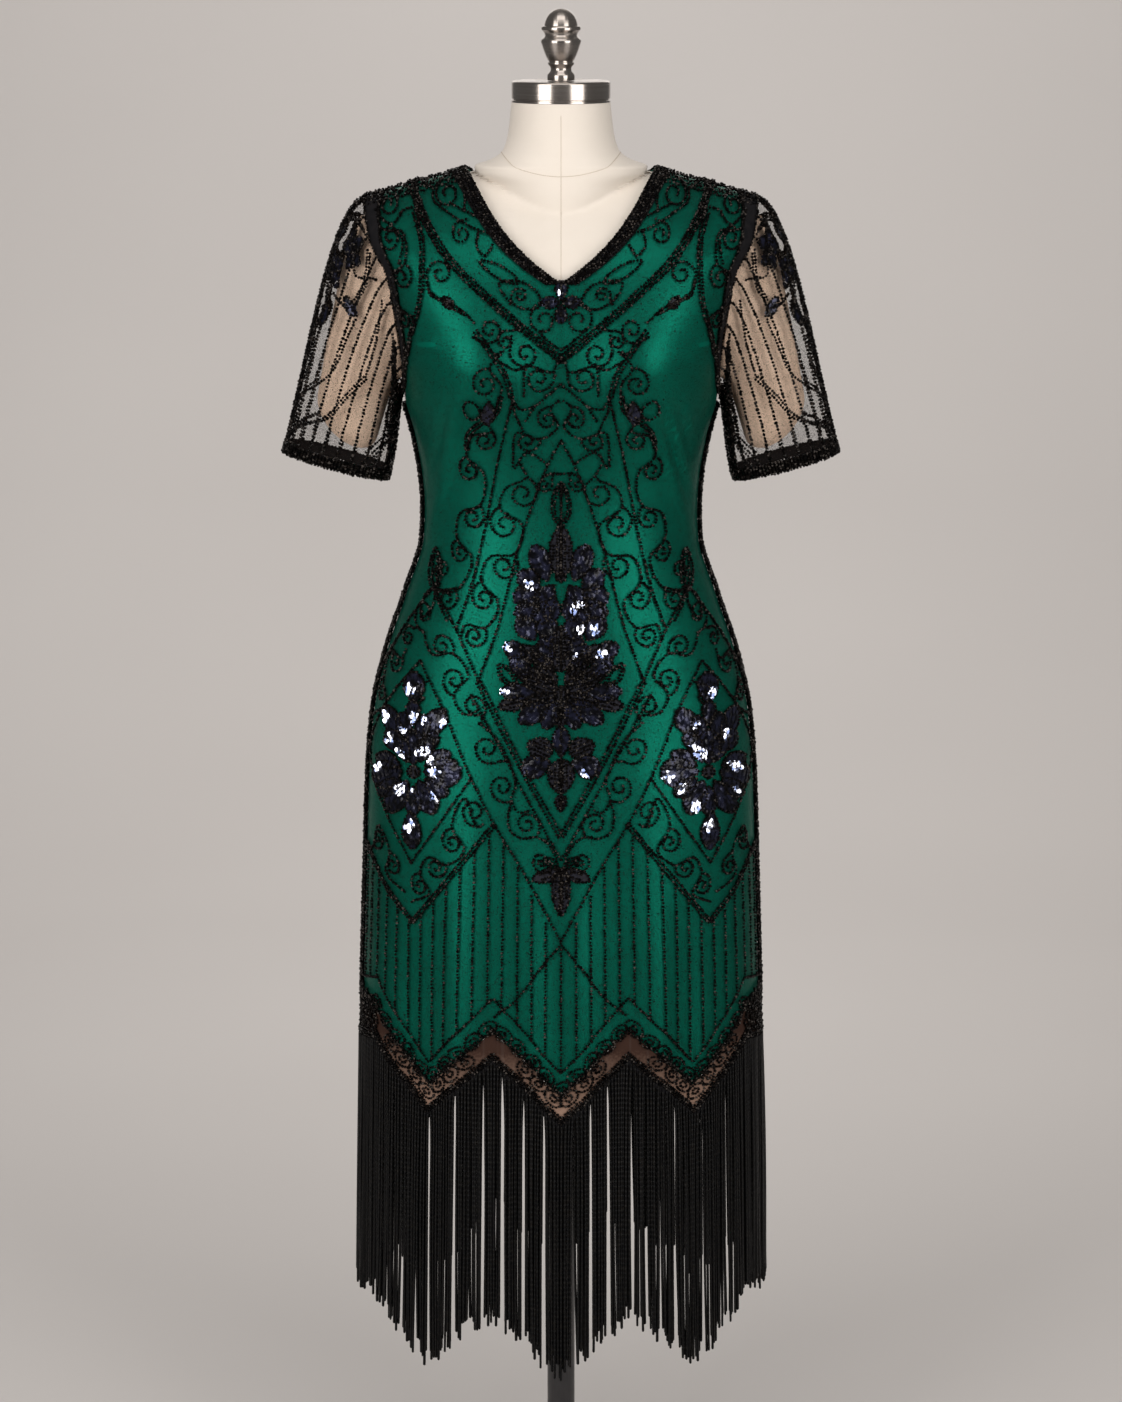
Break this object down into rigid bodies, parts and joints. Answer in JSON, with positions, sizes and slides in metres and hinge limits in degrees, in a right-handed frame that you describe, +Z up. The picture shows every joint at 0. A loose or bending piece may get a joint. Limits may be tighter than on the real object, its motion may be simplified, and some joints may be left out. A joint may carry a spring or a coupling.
{
  "type": "flapper dress on a dress form",
  "caption": "Beaded flapper dress with a V neck, sheer bell sleeves, an emerald satin lining and a fringed zigzag hem, hanging on a limbless dress form on a pole and round base.",
  "frame": {"origin": "on the floor, at the centre of the base plate's underside, under the pole", "axes": "+Z up along the pole, -Y towards the front of the dress, +X towards the wearer's left"},
  "size_m": [0.546, 0.38, 1.569],
  "materials": {
    "satin": "emerald green satin with a soft sheen",
    "net": "sheer black net that carries lines of small beads",
    "ribbon": "matt black ribbon",
    "beadwork": "rows of small glossy black beads",
    "fringe": "strands of small black beads",
    "linen": "cream linen cover with plain seams",
    "arm_cover": "nude cotton cover, padded",
    "nickel": "brushed nickel",
    "black_steel": "satin black powder coat"
  },
  "bodies": {
    "root": {"lining_front": "satin", "lining_back": "satin", "net_front": "net", "net_back": "net", "sleeve_left": "net", "sleeve_right": "net", "armhole_band_left": "ribbon", "armhole_band_right": "ribbon", "neck_band_front": "beadwork", "neck_band_back": "beadwork", "cuff_left": "beadwork", "cuff_right": "beadwork", "fringe_front": "fringe", "fringe_back": "fringe", "form_torso": "linen", "form_arm_left": "arm_cover", "form_arm_right": "arm_cover", "neck_cap": "nickel", "finial": "nickel", "form_flange": "black_steel", "pole": "black_steel", "base_collar": "black_steel", "base_plate": "black_steel"}
  },
  "joints": []
}
